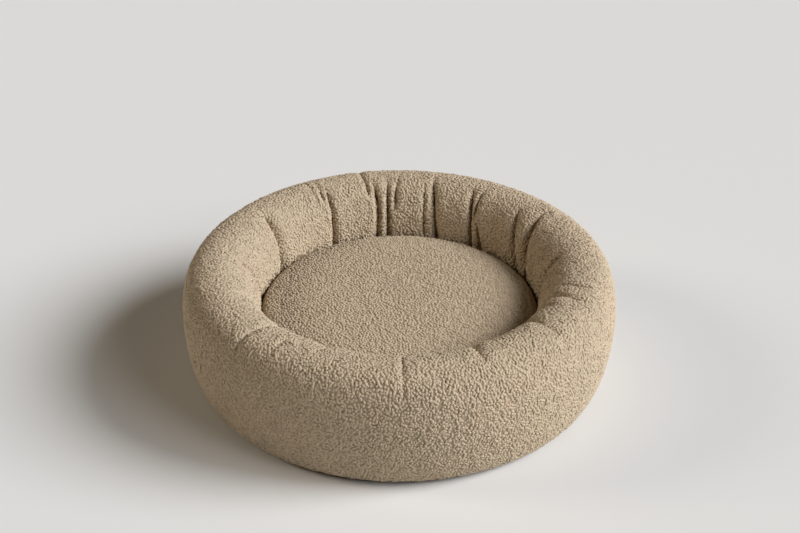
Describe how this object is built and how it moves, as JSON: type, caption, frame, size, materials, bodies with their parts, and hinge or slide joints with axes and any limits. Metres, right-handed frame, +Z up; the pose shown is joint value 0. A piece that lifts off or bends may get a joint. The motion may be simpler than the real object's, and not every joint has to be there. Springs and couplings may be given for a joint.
{
  "type": "round pet bed",
  "caption": "Round pet bed in boucle cloth: a filled ring, gathered on its inner wall, around a domed cushion.",
  "frame": {"origin": "on the floor under the middle of the bed", "axes": "+Z up, -Y towards the front of the bed, the side that faces the camera"},
  "size_m": [0.6998, 0.6998, 0.21],
  "materials": {
    "boucle_ring": "matt curly boucle pile, sand colour",
    "boucle_cushion": "matt curly boucle pile, sand colour",
    "backing_cloth": "plain matt woven cloth"
  },
  "bodies": {
    "root": {"ring_bolster": "boucle_ring", "inner_cushion": "boucle_cushion", "base_panel": "backing_cloth"}
  },
  "joints": []
}
